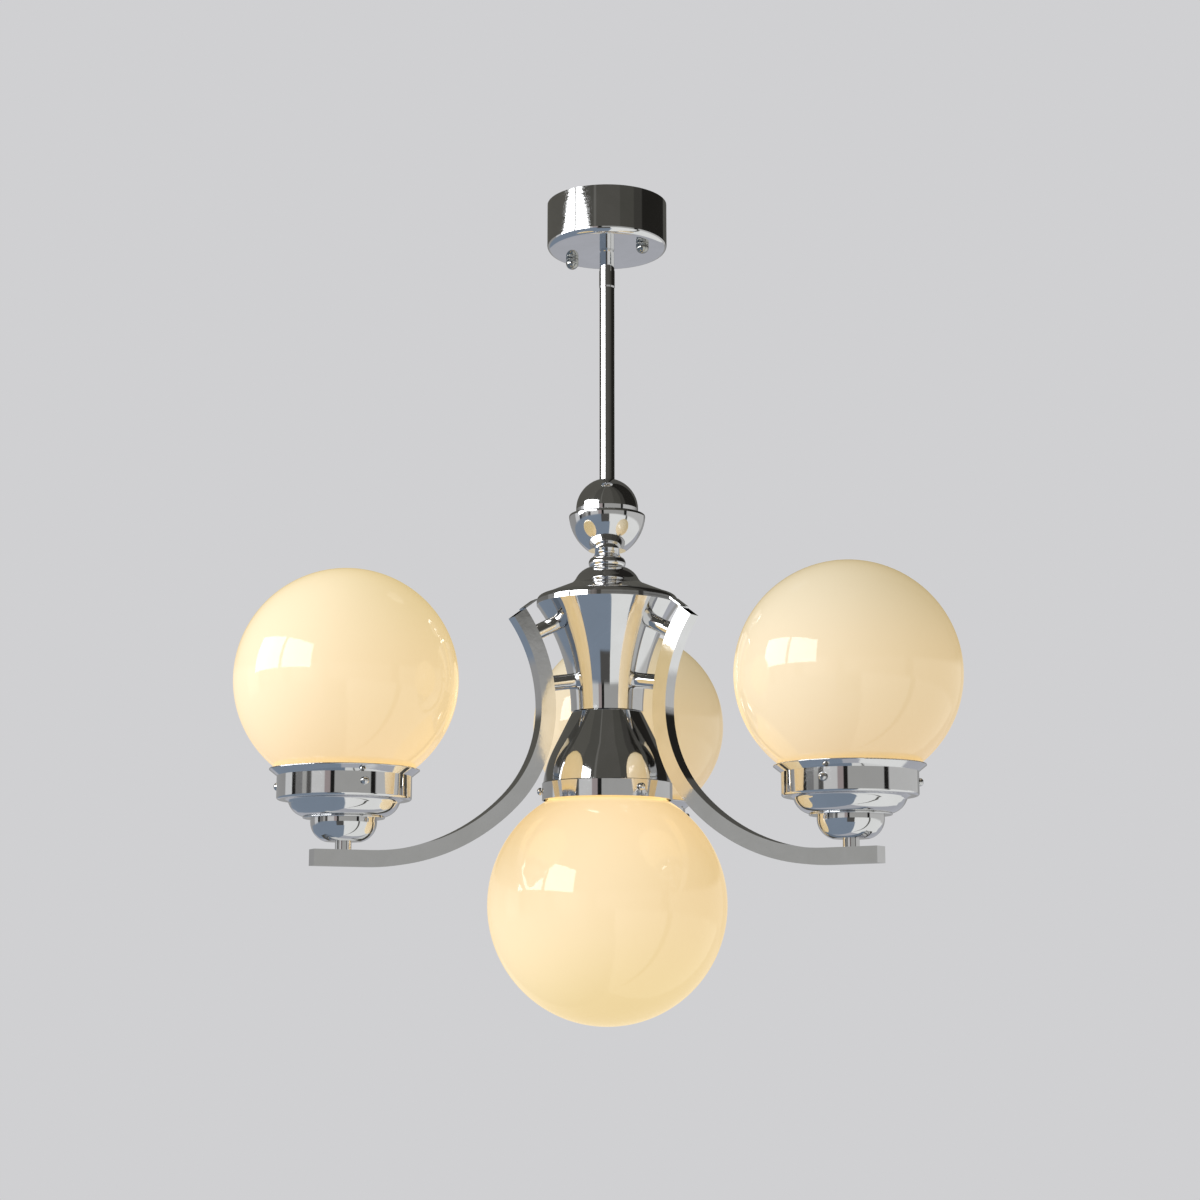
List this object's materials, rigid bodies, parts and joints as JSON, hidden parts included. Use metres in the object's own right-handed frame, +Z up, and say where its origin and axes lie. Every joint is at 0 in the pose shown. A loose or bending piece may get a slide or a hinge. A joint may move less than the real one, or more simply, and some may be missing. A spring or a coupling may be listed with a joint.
{
  "type": "branch chandelier",
  "caption": "Ceiling-hung branch chandelier: chromed centre column with curved square-tube arms, each carrying an opal glass globe, and a larger globe hanging below.",
  "frame": {"origin": "centre of the mounting plate's top face, on the ceiling", "axes": "+Z up along the stem; +Y towards the back arm; the picture is taken from about -Y; the other two arms point to the front left and front right"},
  "size_m": [0.58, 0.5265, 0.7101],
  "materials": {
    "plain_steel": "zinc plated",
    "polished_metal": "mirror polished plate",
    "white_plastic": "moulded",
    "bulb_glass": "frosted, lit",
    "ceramic_white": "glazed",
    "opal_glass": "opal cream, gloss outside"
  },
  "bodies": {
    "frame": {"mounting_plate": "plain_steel", "canopy_studs": "plain_steel", "stud_lock_nuts": "plain_steel", "terminal_block": "white_plastic", "canopy": "polished_metal", "stem_nipple": "plain_steel", "stem_lock_nut": "plain_steel", "stem_sleeve": "polished_metal", "stem_coupler": "polished_metal", "stem_tube": "polished_metal", "tie_tube": "plain_steel", "tie_nut": "plain_steel", "knob_dome": "polished_metal", "knob_bowl": "polished_metal", "spool": "polished_metal", "column_cap": "polished_metal", "column": "polished_metal", "bell": "polished_metal", "lower_gallery": "polished_metal", "arm_left": "polished_metal", "arm_right": "polished_metal", "arm_back": "polished_metal", "arm_end_plates": "polished_metal", "upper_posts": "polished_metal", "lower_posts": "polished_metal", "post_nipples": "plain_steel", "post_nuts": "plain_steel", "holder_nipples": "plain_steel", "holder_nuts": "plain_steel", "cup_spacers": "polished_metal", "lower_cups": "polished_metal", "upper_cups": "polished_metal", "gallery_left": "polished_metal", "gallery_right": "polished_metal", "gallery_back": "polished_metal", "arm_lampholders": "ceramic_white", "lower_lampholder": "ceramic_white", "globe_bottom": "opal_glass"},
    "globe_left": {"globe_left": "opal_glass"},
    "globe_right": {"globe_right": "opal_glass"},
    "globe_back": {"globe_back": "opal_glass"},
    "bulb_left": {"bulb_left": "bulb_glass"},
    "bulb_right": {"bulb_right": "bulb_glass"},
    "bulb_back": {"bulb_back": "bulb_glass"},
    "bulb_bottom": {"bulb_bottom": "bulb_glass"},
    "canopy_cap_nut_right": {"canopy_cap_nut_right": "polished_metal"},
    "canopy_cap_nut_left": {"canopy_cap_nut_left": "polished_metal"},
    "gallery_screw_left_1": {"gallery_screw_left_1": "polished_metal"},
    "gallery_screw_left_2": {"gallery_screw_left_2": "polished_metal"},
    "gallery_screw_left_3": {"gallery_screw_left_3": "polished_metal"},
    "gallery_screw_right_1": {"gallery_screw_right_1": "polished_metal"},
    "gallery_screw_right_2": {"gallery_screw_right_2": "polished_metal"},
    "gallery_screw_right_3": {"gallery_screw_right_3": "polished_metal"},
    "gallery_screw_back_1": {"gallery_screw_back_1": "polished_metal"},
    "gallery_screw_back_2": {"gallery_screw_back_2": "polished_metal"},
    "gallery_screw_back_3": {"gallery_screw_back_3": "polished_metal"},
    "gallery_screw_bottom_1": {"gallery_screw_bottom_1": "polished_metal"},
    "gallery_screw_bottom_2": {"gallery_screw_bottom_2": "polished_metal"},
    "gallery_screw_bottom_3": {"gallery_screw_bottom_3": "polished_metal"}
  },
  "joints": [
    {"name": "globe_left_lift", "type": "slide", "parent": "frame", "child": "globe_left", "axis": [0, 0, 1], "range_m": [0, 0.03]},
    {"name": "globe_right_lift", "type": "slide", "parent": "frame", "child": "globe_right", "axis": [0, 0, 1], "range_m": [0, 0.03]},
    {"name": "globe_back_lift", "type": "slide", "parent": "frame", "child": "globe_back", "axis": [0, 0, 1], "range_m": [0, 0.03]},
    {"name": "bulb_left_unscrew", "type": "slide", "parent": "frame", "child": "bulb_left", "axis": [0, 0, 1], "range_m": [0, 0.025]},
    {"name": "bulb_right_unscrew", "type": "slide", "parent": "frame", "child": "bulb_right", "axis": [0, 0, 1], "range_m": [0, 0.025]},
    {"name": "bulb_back_unscrew", "type": "slide", "parent": "frame", "child": "bulb_back", "axis": [0, 0, 1], "range_m": [0, 0.025]},
    {"name": "bulb_bottom_unscrew", "type": "slide", "parent": "frame", "child": "bulb_bottom", "axis": [0, 0, -1], "range_m": [0, 0.025]},
    {"name": "canopy_cap_nut_right_unscrew", "type": "slide", "parent": "frame", "child": "canopy_cap_nut_right", "axis": [0, 0, -1], "range_m": [0, 0.006]},
    {"name": "canopy_cap_nut_left_unscrew", "type": "slide", "parent": "frame", "child": "canopy_cap_nut_left", "axis": [0, 0, -1], "range_m": [0, 0.006]},
    {"name": "gallery_screw_left_1_back_out", "type": "slide", "parent": "frame", "child": "gallery_screw_left_1", "axis": [0.4726, -0.8813, 0], "range_m": [0, 0.0045]},
    {"name": "gallery_screw_left_2_back_out", "type": "slide", "parent": "frame", "child": "gallery_screw_left_2", "axis": [0.527, 0.8499, 0], "range_m": [0, 0.0045]},
    {"name": "gallery_screw_left_3_back_out", "type": "slide", "parent": "frame", "child": "gallery_screw_left_3", "axis": [-0.9995, 0.0314, 0], "range_m": [0, 0.0045]},
    {"name": "gallery_screw_right_1_back_out", "type": "slide", "parent": "frame", "child": "gallery_screw_right_1", "axis": [0.9923, 0.1236, 0], "range_m": [0, 0.0045]},
    {"name": "gallery_screw_right_2_back_out", "type": "slide", "parent": "frame", "child": "gallery_screw_right_2", "axis": [-0.6032, 0.7976, 0], "range_m": [0, 0.0045]},
    {"name": "gallery_screw_right_3_back_out", "type": "slide", "parent": "frame", "child": "gallery_screw_right_3", "axis": [-0.3891, -0.9212, 0], "range_m": [0, 0.0045]},
    {"name": "gallery_screw_back_1_back_out", "type": "slide", "parent": "frame", "child": "gallery_screw_back_1", "axis": [-0.5, 0.866, 0], "range_m": [0, 0.0045]},
    {"name": "gallery_screw_back_2_back_out", "type": "slide", "parent": "frame", "child": "gallery_screw_back_2", "axis": [-0.5, -0.866, 0], "range_m": [0, 0.0045]},
    {"name": "gallery_screw_back_3_back_out", "type": "slide", "parent": "frame", "child": "gallery_screw_back_3", "axis": [1, 0, 0], "range_m": [0, 0.0045]},
    {"name": "gallery_screw_bottom_1_back_out", "type": "slide", "parent": "frame", "child": "gallery_screw_bottom_1", "axis": [0.5736, -0.8192, 0], "range_m": [0, 0.0045]},
    {"name": "gallery_screw_bottom_2_back_out", "type": "slide", "parent": "frame", "child": "gallery_screw_bottom_2", "axis": [0.4226, 0.9063, 0], "range_m": [0, 0.0045]},
    {"name": "gallery_screw_bottom_3_back_out", "type": "slide", "parent": "frame", "child": "gallery_screw_bottom_3", "axis": [-0.9962, -0.0872, 0], "range_m": [0, 0.0045]}
  ]
}
